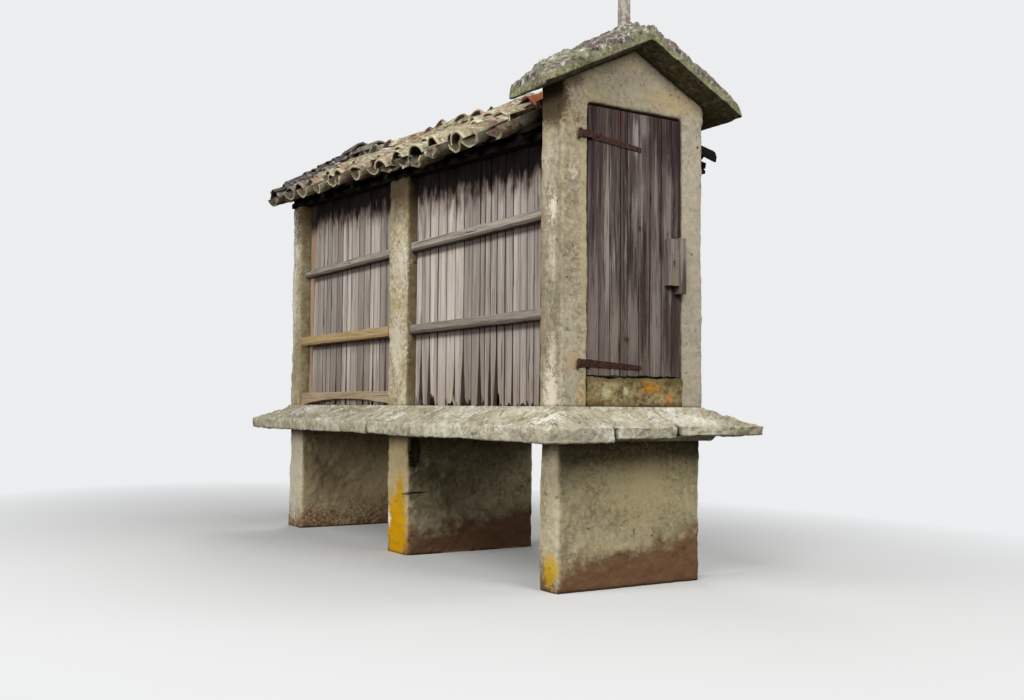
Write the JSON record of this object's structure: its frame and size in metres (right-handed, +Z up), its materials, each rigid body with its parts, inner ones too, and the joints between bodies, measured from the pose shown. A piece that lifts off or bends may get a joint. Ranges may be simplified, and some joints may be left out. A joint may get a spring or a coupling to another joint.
{
  "type": "raised granary",
  "caption": "Narrow raised granary: boarded bays between stone posts under a tiled roof, on a stone platform and piers, with a ledged door in a stone gable.",
  "frame": {"origin": "on the ground at the middle pier's foot, under the middle of the chamber", "axes": "+X across the gable, to the right as one faces the door; +Y from the door to the rear; +Z up"},
  "size_m": [1.625, 4.55, 3.7505],
  "materials": {
    "pier_stone": "matte",
    "platform_stone": "matte",
    "frame_stone": "matte",
    "cover_stone": "matte",
    "threshold_stone": "matte",
    "post_stone": "matte",
    "cross_stone": "matte",
    "roof_tile": "matte",
    "roof_timber": "matte",
    "aged_boards": "matte",
    "aged_rail": "matte",
    "new_timber": "matte",
    "strip_timber": "matte",
    "door_wood": "matte",
    "lock_wood": "matte",
    "rusty_iron": "matte"
  },
  "bodies": {
    "root": {"front_pier": "pier_stone", "middle_pier": "pier_stone", "rear_pier": "pier_stone", "front_left_slab": "platform_stone", "front_middle_slab": "platform_stone", "front_right_slab": "platform_stone", "rear_left_slab": "platform_stone", "rear_middle_slab": "platform_stone", "rear_right_slab": "platform_stone", "front_left_jamb": "frame_stone", "front_right_jamb": "frame_stone", "gable_stone": "frame_stone", "threshold_block": "threshold_stone", "gable_cover_left": "cover_stone", "gable_cover_right": "cover_stone", "ridge_cross": "cross_stone", "middle_post_left": "post_stone", "middle_post_right": "post_stone", "rear_post_left": "post_stone", "rear_post_right": "post_stone", "wall_plate_left": "roof_timber", "wall_plate_right": "roof_timber", "ridge_beam": "roof_timber", "roof_trusses": "roof_timber", "rafters_left": "roof_timber", "rafters_right": "roof_timber", "roof_boards_left": "roof_timber", "roof_boards_right": "roof_timber", "roof_tiles_left": "roof_tile", "roof_tiles_right": "roof_tile", "ridge_tiles": "roof_tile", "front_bay_boards_left": "aged_boards", "front_bay_boards_right": "aged_boards", "rear_bay_boards_left": "aged_boards", "rear_bay_boards_right": "aged_boards", "rear_wall_boards": "aged_boards", "rails_left": "aged_rail", "new_rail_left": "new_timber", "corner_strip_left": "strip_timber", "sill_rail_left": "aged_rail", "rails_right": "aged_rail", "rails_rear": "aged_rail", "pintles": "rusty_iron"},
    "door": {"door_boards": "door_wood", "door_ledges": "door_wood", "strap_hinges": "rusty_iron", "lock_case": "lock_wood"}
  },
  "joints": [
    {"name": "door_hinge", "type": "hinge", "parent": "root", "child": "door", "pos_m": [-0.405, -2.048, 1.9], "axis": [0, 0, -1], "range_deg": [0, 160]}
  ]
}
